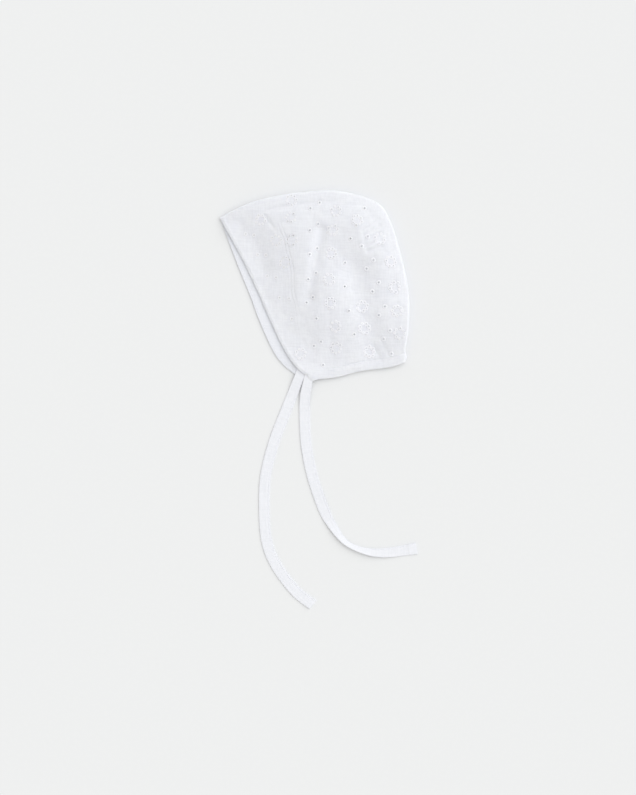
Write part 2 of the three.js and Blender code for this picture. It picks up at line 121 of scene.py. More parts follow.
FAR_FACING = [
    (0.285, 0.930), (0.290, 0.790), (0.310, 0.630), (0.325, 0.450), (0.350, 0.320), (0.385, 0.200),
    (0.470, 0.050),
]

# %% Lines
LINE_POINTS = 161
CURVE_STEPS = 40


def place(shares):
    """Places given in shares of the length and the height, in millimetres from the origin."""
    return (np.asarray(shares, float) - (REST_ALONG, REST_UP)) * (LENGTH, HEIGHT)


def evenly(line, count):
    """The same line with evenly spaced points. Further columns go along with the first two."""
    steps = np.hypot(*np.diff(line[:, :2], axis=0).T)
    run = np.concatenate([[0], np.cumsum(steps)])
    at = np.linspace(0, run[-1], count)
    return np.column_stack([np.interp(at, run, column) for column in line.T])


def smooth(rows, count=LINE_POINTS):
    """A smooth curve through the rows of a table."""
    rows = np.asarray(rows, float)
    padded = np.vstack([rows[:1], rows, rows[-1:]])
    t = np.linspace(0, 1, CURVE_STEPS, endpoint=False)[:, None]
    pieces = []
    for index in range(len(rows) - 1):
        a, b, c, d = padded[index:index + 4]
        bend = 2 * a - 5 * b + 4 * c - d
        twist = 3 * (b - c) + d - a
        pieces.append(b + 0.5 * t * (c - a + t * (bend + t * twist)))
    return evenly(np.vstack([*pieces, rows[-1:]]), count)


def moved_right(line, distance):
    """The line moved to its right, seen along its direction."""
    ahead = np.gradient(line, axis=0)
    ahead /= np.linalg.norm(ahead, axis=1)[:, None]
    return line + distance * np.column_stack([ahead[:, 1], -ahead[:, 0]])


def run_length(line):
    return np.linalg.norm(np.diff(line, axis=0), axis=1).sum()


ridge = moved_right(smooth(place(RIDGE)), WALL / 2)
near_face, far_face = (smooth(place(rows)) for rows in (NEAR_FACE, FAR_FACE))
near_neck, far_neck = (smooth(place(rows)) for rows in (NEAR_NECK, FAR_NECK))
near_inner, far_inner = (smooth(place(rows)) for rows in (NEAR_FACING, FAR_FACING))
print(f"ridge {run_length(ridge):.0f} mm, face edge {run_length(near_face):.0f} mm")

# %% [markdown]
# ## The lie of the cloth
# The lower panel is flat on the surface and turns up to the seam at its edge. The upper panel turns
# over from the seam and is puffed up by the air and the facing inside it, with soft dents and
# creases. At the face and the neck the two layers almost touch, so the cloth rests low there and
# rises towards the crown, and the seam dips at the forehead and at the nape. A formula gives the
# height, because each crease then has one readable row in a table.

# %% Distances and rounds


def nearest_on(line, spots):
    """How far each spot is from a line, and at which share of the line it is nearest."""
    nearest = np.full(len(spots), np.inf)
    share = np.zeros(len(spots))
    for index, (start, end) in enumerate(zip(line[:-1], line[1:])):
        run = end - start
        along = np.clip((spots - start) @ run / (run @ run), 0, 1)
        away = spots - start - along[:, None] * run
        distance = np.hypot(away[:, 0], away[:, 1])
        closer = distance < nearest
        nearest[closer] = distance[closer]
        share[closer] = (index + along[closer]) / (len(line) - 1)
    return nearest, share


def ease(share):
    return 1 - (1 - np.clip(share, 0, 1)) ** 2


def quarter_round(share):
    return np.sqrt(1 - (1 - np.clip(share, 0, 1)) ** 2)


def step_up(value, start, end):
    """0 before start, 1 after end, and a soft step between them."""
    share = np.clip((value - start) / (end - start), 0, 1)
    return share * share * (3 - 2 * share)


def bell(value, width):
    return np.exp(-(value / width) ** 2)


# %% Folds and creases
# From, via and to are shares of the length and the height, and width and rise are in millimetres.
FOLDS = [
    ("valley below the seam", (0.240, 0.900), (0.360, 0.915), (0.520, 0.945), 3.2, -1.7),
    ("crease of the cheek", (0.535, 0.785), (0.517, 0.650), (0.468, 0.430), 5.5, -2.1),
    ("ridge before the crease", (0.470, 0.800), (0.445, 0.620), (0.420, 0.400), 8.0, 0.2),
    ("dent of the crown", (0.630, 0.650), (0.680, 0.620), (0.730, 0.550), 13.0, -1.4),
    ("swell of the crown", (0.690, 0.850), (0.790, 0.780), (0.880, 0.650), 15.0, 2.0),
    ("valley of the back", (0.712, 0.560), (0.762, 0.400), (0.815, 0.160), 14.0, -3.0),
    ("ridge of the back edge", (0.905, 0.640), (0.955, 0.400), (0.930, 0.190), 8.0, 0.3),
    ("ridge of the middle", (0.590, 0.500), (0.680, 0.400), (0.735, 0.150), 9.0, 0.4),
    ("hollow of the brow", (0.120, 0.830), (0.170, 0.760), (0.240, 0.600), 9.0, -1.0),
    ("crease at the facing", (0.236, 0.868), (0.250, 0.840), (0.285, 0.800), 1.2, -0.50),
    ("tuck above the hem", (0.800, 0.200), (0.820, 0.150), (0.850, 0.105), 1.6, -0.40),
    ("tuck beside the nape", (0.850, 0.215), (0.865, 0.165), (0.895, 0.120), 1.6, -0.35),
    ("soft fold of the middle", (0.560, 0.420), (0.585, 0.300), (0.580, 0.160), 3.0, -0.35),
    ("soft fold of the cheek", (0.440, 0.330), (0.455, 0.240), (0.500, 0.150), 3.0, -0.15),
]
PUCKERS = 5
PUCKER_STARTS = ((0.749, 0.785), (0.775, 0.675))
PUCKER_ENDS = ((0.838, 0.845), (0.850, 0.700))
PUCKER_WIDTH = 1.7
PUCKER_DEPTH = 1.0
FOLD_POINTS = 9
# How far in from the face and from the neck the folds reach their full depth.
FOLD_FACE_RUN = 10.0
FOLD_NECK_RUN = 8.0


def bent_line(start, via, end):
    t = np.linspace(0, 1, FOLD_POINTS)[:, None]
    start, via, end = place([start, via, end])
    return (1 - t) ** 2 * start + 2 * t * (1 - t) * via + t * t * end


fold_lines = [(bent_line(*row[1:4]), row[4], row[5]) for row in FOLDS]
for t in np.linspace(0, 1, PUCKERS):
    start = np.asarray(PUCKER_STARTS[0]) * (1 - t) + np.asarray(PUCKER_STARTS[1]) * t
    end = np.asarray(PUCKER_ENDS[0]) * (1 - t) + np.asarray(PUCKER_ENDS[1]) * t
    fold_lines.append((bent_line(start, (start + end) / 2, end), PUCKER_WIDTH, -PUCKER_DEPTH))


def fold_height(spots):
    return sum(rise * bell(nearest_on(line, spots)[0], width) for line, width, rise in fold_lines)


# %% [markdown]
# ## Sewn relief
# What is sewn inside shows through soft cotton: a band along the seam, the edge of the facing as a
# pair of lines, and the hem along the neck. Cotton that was washed and pressed is never level
# either, so many low waves are added, 9 to 30 mm long, from a seeded generator.

# %% Relief of the upper panel
FACING_LINE = [
    (0.305, 0.850), (0.319, 0.806), (0.333, 0.768), (0.347, 0.733), (0.359, 0.668), (0.379, 0.579),
    (0.384, 0.457), (0.403, 0.389), (0.414, 0.310),
]
FACING_LINE_POINTS = 60
FACING_LINE_GAP = 1.35
FACING_LINE_DEPTH = 0.30
FACING_LINE_WIDTH = 0.55
FACING_LINE_FADES = ((0.0, 0.12), (0.85, 1.0))
SEAM_BAND = 9.5
SEAM_BAND_RISE = 0.35
SEAM_BAND_SLOPE = (-1.5, 1.0)
SEAM_BAND_START = (-60.0, -50.0)
SEAM_BAND_FADE = (0.0, 30.0)
SEAM_BAND_LOSS = 0.7
HEM_RISE = 0.30
HEM_SLOPE = (-1.0, 0.6)
HEM_START = (-3.0, 8.0)
HEM_LINE_DEPTH = 0.35
HEM_LINE_WIDTH = 0.6
RIPPLE_HEIGHT = 0.10
RIPPLE_PLACE = 5.0
RIPPLE_WIDTH = 6.0
RIPPLE_WAVE = (0.95, 1.9)
EDGE_TURN = 1.1
EDGE_ROLL_RISE = 0.30
EDGE_ROLL_PLACE = 1.9
EDGE_ROLL_WIDTH = 1.3
RELIEF_START = 0.5
WAVES = 26
WAVE_HEIGHT = 0.035
WAVE_LENGTHS = (9.0, 30.0)

facing_line = smooth(place(FACING_LINE), FACING_LINE_POINTS)
wave_random = np.random.default_rng(7)
wave_headings = wave_random.uniform(0, math.pi, WAVES)
wave_lengths = wave_random.uniform(*WAVE_LENGTHS, WAVES)
wave_phases = wave_random.uniform(0, 2 * math.pi, WAVES)


def waviness(spots):
    heading = np.column_stack([np.cos(wave_headings), np.sin(wave_headings)])
    phase = (spots @ heading.T) * (2 * math.pi / wave_lengths) + wave_phases
    return WAVE_HEIGHT * np.sin(phase).sum(axis=1)


def sewn_relief(spots, from_ridge, from_face, from_neck):
    """Low relief of the upper panel, in millimetres."""
    x = spots[:, 0]
    away, share = nearest_on(facing_line, spots)
    shown = step_up(share, *FACING_LINE_FADES[0]) * (1 - step_up(share, *FACING_LINE_FADES[1]))
    lines = -FACING_LINE_DEPTH * shown * bell(away - FACING_LINE_GAP, FACING_LINE_WIDTH)
    along_seam = step_up(x, *SEAM_BAND_START) * (1 - SEAM_BAND_LOSS * step_up(x, *SEAM_BAND_FADE))
    band = SEAM_BAND_RISE * along_seam * (1 - step_up(from_ridge - SEAM_BAND, *SEAM_BAND_SLOPE))
    along_hem = step_up(x, *HEM_START)
    hem = HEM_RISE * along_hem * (1 - step_up(from_neck - NECK_HEM, *HEM_SLOPE))
    hem_line = -HEM_LINE_DEPTH * along_hem * bell(from_neck - NECK_HEM, HEM_LINE_WIDTH)
    ripple = RIPPLE_HEIGHT * along_hem * bell(from_neck - RIPPLE_PLACE, RIPPLE_WIDTH)
    ripple = ripple * np.sin(spots @ RIPPLE_WAVE)
    edge_roll = EDGE_ROLL_RISE * bell(from_face - EDGE_ROLL_PLACE, EDGE_ROLL_WIDTH)
    edge_turn = (quarter_round(np.minimum(from_face, from_neck) / EDGE_TURN) - 1) * WALL
    return lines + band + hem + hem_line + ripple + edge_roll + edge_turn


# %% Heights of the two panels


def near_an_end(spots):
    """1 at the forehead peak and at the nape, and 0 far from both."""
    return sum(bell(np.hypot(*(spots - end).T), END_RUN) for end in (ridge[0], ridge[-1]))


def seam_height(spots):
    return SEAM_HEIGHT - SEAM_DIP * near_an_end(spots)


def upper_height(spots):
    """Height of the middle of the upper panel's cloth."""
    from_ridge = nearest_on(ridge, spots)[0]
    from_face = nearest_on(near_face, spots)[0]
    from_neck = nearest_on(near_neck, spots)[0]
    toward_neck = from_face / np.maximum(from_face + from_neck, CLEARANCE)
    edge_rest = FACE_REST + (NECK_REST - FACE_REST) * toward_neck
    edge_rest += (CORNER_REST - edge_rest) * bell(from_face + from_neck, CORNER_RUN)
    puff = step_up(from_face, 0, FACE_RUN) * step_up(from_neck, 0, NECK_RUN)
    crest = edge_rest + (CROWN_RISE - edge_rest) * puff
    seam = seam_height(spots) + CLEARANCE / 2
    dome = ease(from_ridge / RIDGE_RUN)
    roll_rise = RIDGE_ROLL * (1 - ROLL_DIP * near_an_end(spots))
    rolled = seam + roll_rise * quarter_round(from_ridge / RIDGE_ROLL)
    folded = fold_height(spots) * step_up(from_face, 0, FOLD_FACE_RUN)
    folded = folded * step_up(from_neck, 0, FOLD_NECK_RUN)
    curl = NECK_CURL * bell(from_neck, NECK_CURL_RUN)
    lie = rolled + (crest - seam - roll_rise + folded - curl) * dome
    settled = step_up(from_ridge, RELIEF_START, RIDGE_ROLL)
    relief = sewn_relief(spots, from_ridge, from_face, from_neck)
    return lie + settled * (relief + waviness(spots))


def lower_height(spots):
    """Height of the middle of the lower panel's cloth."""
    from_ridge = nearest_on(ridge, spots)[0]
    seam = seam_height(spots) - CLEARANCE / 2
    flat = WALL / 2 + WORKED_LIFT
    return seam - (seam - flat) * quarter_round(from_ridge / LOWER_ROLL)


crown = place([(0.78, 0.60)])
print(f"cloth at the crown {upper_height(crown)[0]:.1f} mm above the surface")

# %% [markdown]
# ## Where the embroidery goes
# Broderie anglaise is cotton with punched holes, each bound with satin stitch. Eyelets stand in
# pairs or alone, and between them small flowers have a ring of eight. Both are charted in
# columns, as shares of the length and the height. Most are about 21 mm apart along a column.

# %% Chart of the eyelets
EYELETS = {
    "brow": [
        (0.135, 0.769), (0.179, 0.762), (0.199, 0.660), (0.242, 0.656), (0.248, 0.546), (0.295, 0.538),
        (0.314, 0.430), (0.364, 0.426), (0.378, 0.319),
    ],
    "cheek": [
        (0.476, 0.902), (0.525, 0.931), (0.474, 0.785), (0.517, 0.818), (0.473, 0.658), (0.512, 0.690),
        (0.465, 0.527), (0.506, 0.560), (0.456, 0.404), (0.490, 0.432), (0.508, 0.319), (0.495, 0.175),
        (0.532, 0.197),
    ],
    "ear": [(0.687, 0.741), (0.659, 0.614), (0.657, 0.488), (0.679, 0.359), (0.707, 0.236)],
    "back": [
        (0.745, 0.700), (0.777, 0.751), (0.771, 0.582), (0.807, 0.627), (0.802, 0.462), (0.835, 0.509),
        (0.836, 0.337), (0.868, 0.382), (0.861, 0.212), (0.895, 0.256), (0.903, 0.133),
    ],
    "between": [(0.761, 0.902), (0.543, 0.074)],
}
FLOWERS = {
    "seam": [(0.377, 0.945), (0.217, 0.842), (0.612, 0.886), (0.720, 0.835)],
    "brow": [(0.375, 0.853), (0.378, 0.731), (0.296, 0.733), (0.344, 0.616)],
    "cheek": [
        (0.595, 0.784), (0.587, 0.664), (0.573, 0.525), (0.581, 0.400), (0.609, 0.278), (0.613, 0.163),
        (0.425, 0.133),
    ],
    "back": [(0.749, 0.382), (0.761, 0.267), (0.787, 0.144)],
    "nape": [(0.842, 0.739), (0.897, 0.619), (0.919, 0.485), (0.934, 0.359), (0.947, 0.241)],
}
# How fully each column is worked, as a share of the full width of its stitches.
WORKED = {
    "brow": 0.60, "cheek": 0.85, "ear": 0.75, "back": 1.0, "between": 0.8, "seam": 0.8, "nape": 0.9,
}
EYELET = 1.9
EYELET_RIM = 1.35
PETALS = 8
PETAL_HOLE = 1.5
PETAL_RIM = 1.2
PETAL_TURN = 0.1
PETAL_REACH = (0.88, 1.08)
PETAL_SIZES = [0.45, 0.7, 1.0, 1.1]
PETAL_ODDS = [0.2, 0.25, 0.35, 0.2]
FLOWER_RING = 4.4
FAR_SHIFT = (3.4, -3.6)
FAR_HOLE_CLEAR = 6.5

# %% Holes of the chart
flat_eyelets = [spot for column in EYELETS.values() for spot in column]
flat_flowers = [spot for column in FLOWERS.values() for spot in column]
petal_random = np.random.default_rng(11)
near_holes = []
for column, spots in EYELETS.items():
    near_holes += [(spot, EYELET / 2, EYELET_RIM * WORKED[column]) for spot in place(spots)]
flower_rims = [PETAL_RIM * WORKED[column] for column, spots in FLOWERS.items() for _ in spots]
for centre, rim in zip(place(flat_flowers), flower_rims):
    petal = np.arange(PETALS) + petal_random.uniform(0, 1)
    petal = petal + petal_random.uniform(-PETAL_TURN, PETAL_TURN, PETALS)
    turns = petal * 2 * math.pi / PETALS
    reach = FLOWER_RING * petal_random.uniform(*PETAL_REACH, PETALS)
    petals = centre + reach[:, None] * np.column_stack([np.cos(turns), np.sin(turns)])
    sizes = PETAL_HOLE / 2 * petal_random.choice(PETAL_SIZES, PETALS, p=PETAL_ODDS)
    near_holes += [(spot, size, rim) for spot, size in zip(petals, sizes)]
far_holes = [(spot + FAR_SHIFT, radius, rim) for spot, radius, rim in near_holes]
far_holes = [
    hole for hole in far_holes if nearest_on(ridge, hole[0][None])[0][0] > FAR_HOLE_CLEAR]
print(f"{len(flat_eyelets)} eyelets and {len(flat_flowers)} flowers: {len(near_holes)} holes above, "
      f"{len(far_holes)} below")

# %% [markdown]
# ## Cutting cloth
# A pierced panel is cut flat first: its outline, its holes and a loose net of points become
# triangles, as in a paper pattern. The net is then lifted to the height of the cloth and given a
# wall. This keeps every hole round and open, which a grid with holes knocked out of it wouldn't.

# %% Flat cutting
NET = 1.2
NET_JITTER = 0.16
NET_CLEAR = 0.1
EDGE_STEP = 1.1
FINE_STEP = 0.1
ROLL_STEP = 0.35
ROLL_REACH = 1.2
ROLL_TURNS = [14, 28, 42, 56, 72, 90]
ROLL_SLACK = 0.97
LEAST_APART = 0.15
SEWN_CLEAR = 4.5
HOLE_SIDES = 12
FACE_ROWS_IN = 1.0
INSIDE_ONLY = 1
SAME_PLACE = 1e-5
# Lines with fine relief, each with how far to its right the rows of points beside it run.
SEWN_LINES = [
    (facing_line, [-2.5, -1.9, -1.35, -0.8, -0.25, 0.3, 0.8, 1.35, 1.9, 2.5]),
    (moved_right(near_face, -FACE_ROWS_IN), [0.7, 0.0, -0.9, -1.8, -2.8]),
    (moved_right(near_neck, -NECK_HEM), [7.4, 6.7, 0.9, 0.45, 0.0, -0.45, -0.9]),
]


def inside(loop, spots):
    """Whether each spot is inside a closed loop."""
    x, y = spots.T
    found = np.zeros(len(spots), bool)
    for (ax, ay), (bx, by) in zip(loop, np.roll(loop, -1, axis=0)):
        if ay != by:
            crosses = (ay > y) != (by > y)
            found ^= crosses & (x < (bx - ax) * (y - ay) / (by - ay) + ax)
    return found


def edge_points(line, roll):
    """Points along an edge, close together where the cloth turns to the seam."""
    fine = evenly(line, int(run_length(line) / FINE_STEP))
    from_ridge = nearest_on(ridge, fine)[0]
    kept = [0]
    for index in range(1, len(fine)):
        step = ROLL_STEP if from_ridge[index] < roll * ROLL_REACH else EDGE_STEP
        if (index - kept[-1]) * FINE_STEP >= step:
            kept.append(index)
    return fine[kept]


def outline_of(face, neck, roll):
    """The closed outline of a panel: over the ridge, along the neck and up the face edge."""
    top = evenly(ridge, int(run_length(ridge) / EDGE_STEP))
    under = edge_points(neck[::-1], roll)[1:]
    front = edge_points(face[::-1], roll)
    loop = np.vstack([top, under, front])
    apart = np.linalg.norm(loop - np.roll(loop, -1, axis=0), axis=1) > LEAST_APART
    return loop[apart]


def roll_rows(loop, roll):
    """Rows of points along the seam, denser where the cloth is steepest."""
    rows = []
    for turn in np.radians(ROLL_TURNS):
        depth = roll * (1 - math.cos(turn))
        row = moved_right(evenly(ridge, int(run_length(ridge) / EDGE_STEP)), depth)
        clear = nearest_on(ridge, row)[0] > depth * ROLL_SLACK
        rows.append(row[clear & inside(loop, row)])
    return np.vstack(rows)


def sewn_rows(loop):
    """Rows of points beside the sewn lines, where the relief is finest."""
    rows = []
    for line, sides in SEWN_LINES:
        for side in sides:
            row = moved_right(evenly(line, int(run_length(line) / EDGE_STEP)), side)
            rows.append(row[inside(loop, row) & (nearest_on(ridge, row)[0] > SEWN_CLEAR)])
    return np.vstack(rows)


def cut_flat(face, neck, roll, holes):
    """Points and triangles of a panel's flat cut, with its holes open."""
    loop = outline_of(face, neck, roll)
    closed = np.vstack([loop, loop[:1]])
    low, high = loop.min(axis=0), loop.max(axis=0)
    columns = np.arange(low[0], high[0], NET)
    rows = np.arange(low[1], high[1], NET * math.sqrt(3) / 2)
    net = np.array([(x + NET / 2 * (j % 2), y) for j, y in enumerate(rows) for x in columns])
    net += np.random.default_rng(3).uniform(-NET_JITTER, NET_JITTER, net.shape) * NET
    net = net[inside(loop, net)]
    net = net[nearest_on(ridge, net)[0] > roll + NET / 3]
    for line, sides in SEWN_LINES:
        away = nearest_on(moved_right(line, (sides[0] + sides[-1]) / 2), net)[0]
        net = net[away > (max(sides) - min(sides)) / 2 + NET / 3]
    loose = np.vstack([net, roll_rows(loop, roll), sewn_rows(loop)])
    loose = loose[nearest_on(closed, loose)[0] > NET_CLEAR * NET]
    rings = []
    for centre, radius, rim in holes:
        loose = loose[np.hypot(*(loose - centre).T) > radius + rim + NET / 4]
        turns = np.arange(HOLE_SIDES) / HOLE_SIDES * 2 * math.pi
        circle = np.column_stack([np.cos(turns), np.sin(turns)])
        rings.append(centre + radius * circle)
        loose = np.vstack([loose, centre + (radius + rim) * circle])
    spots = np.vstack([loop, *rings, loose])
    edges = [(i, (i + 1) % len(loop)) for i in range(len(loop))]
    for ring in range(len(rings)):
        first = len(loop) + ring * HOLE_SIDES
        edges += [(first + i, first + (i + 1) % HOLE_SIDES) for i in range(HOLE_SIDES)]
    cut = delaunay_2d_cdt([Vector(spot) for spot in spots], edges, [], INSIDE_ONLY, SAME_PLACE)
    points = np.array([tuple(point) for point in cut[0]])
    faces = np.array(cut[2])
    middles = points[faces].mean(axis=1)
    kept = inside(loop, middles)
    for centre, radius, _ in holes:
        kept &= np.hypot(*(middles - centre).T) > radius * math.cos(math.pi / HOLE_SIDES)
    return points, faces[kept]


# %% [markdown]
# ## From a flat cut to a wall of cloth
# Each piece of cloth is a closed wall: its upper and its lower side are half a wall away from the
# middle, and a narrow strip closes every edge. Each point also keeps its flat place, so that the
# weave of the material runs along the cloth however it lies.

# %% Walls
# A mesh stays sharp where it turns by more than these degrees.
CLOTH_SMOOTH = 50
ROUND_SMOOTH = 60
RIM_SMOOTH = 80
SHORTEST = 1e-9


def normals_of(points, faces):
    corners = points[faces]
    across = np.cross(corners[:, 1] - corners[:, 0], corners[:, 2] - corners[:, 0])
    normals = np.zeros_like(points)
    for corner in range(faces.shape[1]):
        np.add.at(normals, faces[:, corner], across)
    return normals / np.maximum(np.linalg.norm(normals, axis=1), SHORTEST)[:, None]


def area_of(points, faces):
    """Area of one side of the cloth in square metres."""
    a, b, c = (points[faces[:, corner]] for corner in range(3))
    return np.linalg.norm(np.cross(b - a, c - a), axis=1).sum() / 2 * MM * MM


def put(name, data):
    """A new object in the scene."""
    thing = bpy.data.objects.new(name, data)
    bpy.context.scene.collection.objects.link(thing)
    return thing


def piece(name, points, faces, flat, smooth_angle=CLOTH_SMOOTH):
    """A new object in metres from points and faces, with the flat place of each point."""
    mesh = bpy.data.meshes.new(name)
    mesh.from_pydata((np.asarray(points) * MM).tolist(), [], [list(map(int, face)) for face in faces])
    mesh.validate()
    mesh.attributes.new("flat_place", "FLOAT_VECTOR", "POINT")
    mesh.attributes["flat_place"].data.foreach_set("vector", np.asarray(flat, np.float32).ravel())
    mesh.polygons.foreach_set("use_smooth", np.ones(len(mesh.polygons), bool))
    mesh.set_sharp_from_angle(angle=math.radians(smooth_angle))
    thing = put(name, mesh)
    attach(thing, "root")
    print(f"{name}: {len(mesh.polygons)} faces")
    return thing


def wall(name, points, faces, thickness=WALL, drop=0.0):
    """A closed wall of cloth round a middle surface, moved in by drop."""
    normals = normals_of(points, faces)
    middle = points - drop * normals
    upper = middle + normals * thickness / 2
    lower = middle - normals * thickness / 2
    count = len(points)
    sides = dict.fromkeys(
        (start, end) for face in faces.tolist() for start, end in zip(face, face[1:] + face[:1]))
    rim = [(a, a + count, b + count, b) for a, b in sides if (b, a) not in sides]
    below = [tuple(corner + count for corner in reversed(face)) for face in faces.tolist()]
    every = [*faces.tolist(), *below, *rim]
    return piece(name, np.vstack([upper, lower]), every, np.vstack([points, points]))


def lifted(spots, height):
    return np.column_stack([spots, height(spots)])


# %% [markdown]
# ## Materials
# All of the bonnet is cotton, so its finishes differ in their yarn and in how it was worked. Colours
# are written as sRGB hex values and turned to linear in one place, and one function adds a node with
# its settings and its links.

# %% Colour and node helpers


def linear(code):
    """Linear RGBA of an sRGB hex colour."""
    channels = [int(code[i:i + 2], 16) / 255 for i in (1, 3, 5)]
    return [c / 12.92 if c <= 0.04045 else ((c + 0.055) / 1.055) ** 2.4 for c in channels] + [1.0]


def empty_finish(name):
    """A new material and its node tree, with nothing in it."""
    material = bpy.data.materials.new(name)
    material.use_nodes = True
    material.node_tree.nodes.clear()
    return material, material.node_tree


def add(tree, kind, settings, links=()):
    """Adds a node, sets its properties and input values, and links (socket, source) pairs to it."""
    node = tree.nodes.new(kind)
    for name, value in settings.items():
        if isinstance(name, str) and hasattr(node, name):
            setattr(node, name, value)
        else:
            node.inputs[name].default_value = value
    for socket, source in links:
        tree.links.new(source, node.inputs[socket])
    return node


# %% [markdown]
# ### Woven cotton
# Lawn is a plain weave of combed cotton yarn. Its real threads are about 0.3 mm apart, too fine for
# the picture, so the weave is drawn 0.9 mm apart. What the eye does see is slubs: thicker stretches
# of yarn that run across and along the cloth as faint streaks, in the relief and in the colour. The
# cloth lets light through, so light is scattered below its surface, most of all in the eyelet cotton.

# %% Cotton cloth
DRAWN_THREAD = 0.9
SLUB_LENGTH = 14.0
SLUB_WIDTH = 1.4


def woven_cotton(name, light, shade, streak=0.7, weave=0.35, bump=0.12, scatter=(0.3, 0.6)):
    material, tree = empty_finish(name)
    flat = add(tree, "ShaderNodeAttribute", {"attribute_name": "flat_place"}).outputs["Vector"]
    # At a scale of 1 the bands of a wave texture are pi / 10 apart.
    waves = []
    for axis in ("X", "Y"):
        waves.append(add(
            tree, "ShaderNodeTexWave",
            {"wave_type": "BANDS", "bands_direction": axis, "Scale": math.pi / 10 / DRAWN_THREAD,
             "Distortion": 1.2, "Detail": 1.0, "Detail Scale": 0.6},
            [("Vector", flat)],
        ).outputs["Fac"])
    slubs = []
    for stretch in ((1 / SLUB_LENGTH, 1 / SLUB_WIDTH, 1), (1 / SLUB_WIDTH, 1 / SLUB_LENGTH, 1)):
        stretched = add(
            tree, "ShaderNodeVectorMath", {"operation": "MULTIPLY", 1: stretch}, [(0, flat)])
        slubs.append(add(
            tree, "ShaderNodeTexNoise", {"Scale": 1.0, "Detail": 3.0, "Roughness": 0.55},
            [("Vector", stretched.outputs[0])],
        ).outputs["Fac"])
    crossing = add(tree, "ShaderNodeMath", {"operation": "MULTIPLY"}, [(0, waves[0]), (1, waves[1])])
    streaks = add(tree, "ShaderNodeMath", {"operation": "ADD"}, [(0, slubs[0]), (1, slubs[1])])
    fine = add(tree, "ShaderNodeMath", {"operation": "MULTIPLY", 1: weave}, [(0, crossing.outputs[0])])
    relief = add(
        tree, "ShaderNodeMath", {"operation": "ADD"}, [(0, streaks.outputs[0]), (1, fine.outputs[0])])
    spread = add(
        tree, "ShaderNodeMapRange", {"From Min": 0.7, "From Max": 1.3}, [("Value", streaks.outputs[0])])
    colour = add(
        tree, "ShaderNodeMix", {"data_type": "RGBA", 6: linear(shade), 7: linear(light)},
        [(0, spread.outputs[0])])
    raised = add(
        tree, "ShaderNodeBump", {"Strength": streak, "Distance": bump * MM},
        [("Height", relief.outputs[0])])
    shader = add(
        tree, "ShaderNodeBsdfPrincipled",
        {"Roughness": 0.92, "IOR": 1.45, "Specular IOR Level": 0.3, "Sheen Weight": 0.15,
         "Sheen Roughness": 0.5, "Subsurface Weight": scatter[0], "Subsurface Scale": scatter[1] * MM,
         "Subsurface Radius": (1.0, 1.0, 1.0)},
        [("Base Color", colour.outputs[2]), ("Normal", raised.outputs[0])])
    add(tree, "ShaderNodeOutputMaterial", {}, [("Surface", shader.outputs[0])])
    return material


eyelet_cotton = woven_cotton("eyelet_cotton_lawn", "#eff1fb", "#e6e8f2", scatter=(1.0, 1.1))
plain_cotton = woven_cotton("plain_cotton_lawn", "#eaecf2", "#e3e5eb")
cotton_tape = woven_cotton("cotton_tape", "#edeef4", "#e6e8ed", streak=0.6)

# %% [markdown]
# ### Embroidery thread
# The worked edges and the seams are mercerised cotton: its fibres are swollen smooth in lye under
# tension, which gives satin stitch a mild silky gleam. So it is smoother than the cloth round it and
# a little whiter.

# %% Mercerised thread
mercerised_cotton, thread_tree = empty_finish("mercerised_cotton_thread")
thread_place = add(thread_tree, "ShaderNodeAttribute", {"attribute_name": "flat_place"})
thread_noise = add(
    thread_tree, "ShaderNodeTexNoise", {"Scale": 2.2, "Detail": 2.0},
    [("Vector", thread_place.outputs["Vector"])])
thread_colour = add(
    thread_tree, "ShaderNodeMix",
    {"data_type": "RGBA", 6: linear("#ecedf5"), 7: linear("#f5f6fd")},
    [(0, thread_noise.outputs["Fac"])])
thread_bump = add(
    thread_tree, "ShaderNodeBump", {"Strength": 0.3, "Distance": 0.05 * MM},
    [("Height", thread_noise.outputs["Fac"])])
thread_shader = add(
    thread_tree, "ShaderNodeBsdfPrincipled",
    {"Roughness": 0.55, "IOR": 1.5, "Sheen Weight": 0.2, "Sheen Roughness": 0.35},
    [("Base Color", thread_colour.outputs[2]), ("Normal", thread_bump.outputs[0])])
add(thread_tree, "ShaderNodeOutputMaterial", {}, [("Surface", thread_shader.outputs[0])])


def dress(thing, material):
    thing.data.materials.append(material)


# %% [markdown]
# ## The two side panels
# Each panel is one piece of eyelet cotton. The upper one shows all of its folds, and the lower one
# lies flat below it and carries the same pattern, because both were cut from one cloth.

# %% Panels
panels, panel_cuts = {}, {}
for name, node, face, neck, roll, height, holes in (
    ("panel_near", "side_panel_near", near_face, near_neck, RIDGE_ROLL, upper_height, near_holes),
    ("panel_far", "side_panel_far", far_face, far_neck, LOWER_ROLL, lower_height, far_holes),
):
    spots, faces = cut_flat(face, neck, roll, holes)
    points = lifted(spots, height)
    a, b, c = points[faces[0]]
    if (np.cross(b - a, c - a)[2] > 0) != (name == "panel_near"):
        faces = faces[:, ::-1]
    panels[name] = wall(name, points, faces)
    dress(panels[name], eyelet_cotton)
    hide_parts(node)
    cloth_area = area_of(points, faces)
    print(f"{name}: {cloth_area * 1e4:.0f} square centimetres of cloth")
    panel_cuts[name] = (tuple(np.ptp(spots, axis=0) * MM), cloth_area)

# %% [markdown]
# ## Facings, hems and the seam allowance
# A facing is a shaped lining along an edge: here it is deep at the forehead and narrow at the ties.
# The lower one shows as a crescent beside the upper edge. Each inner layer is a patch between two
# lines that run side by side, and it follows its panel at a layer's distance.

# %% Patches
SEARCH_POINTS = 600


def blended(edge, inner, long, deep):
    """Rows of spots between two lines that run side by side."""
    edge, inner = evenly(edge, long), evenly(inner, long)
    u = np.linspace(0, 1, deep)[None, :, None]
    return edge[:, None] * (1 - u) + inner[:, None] * u


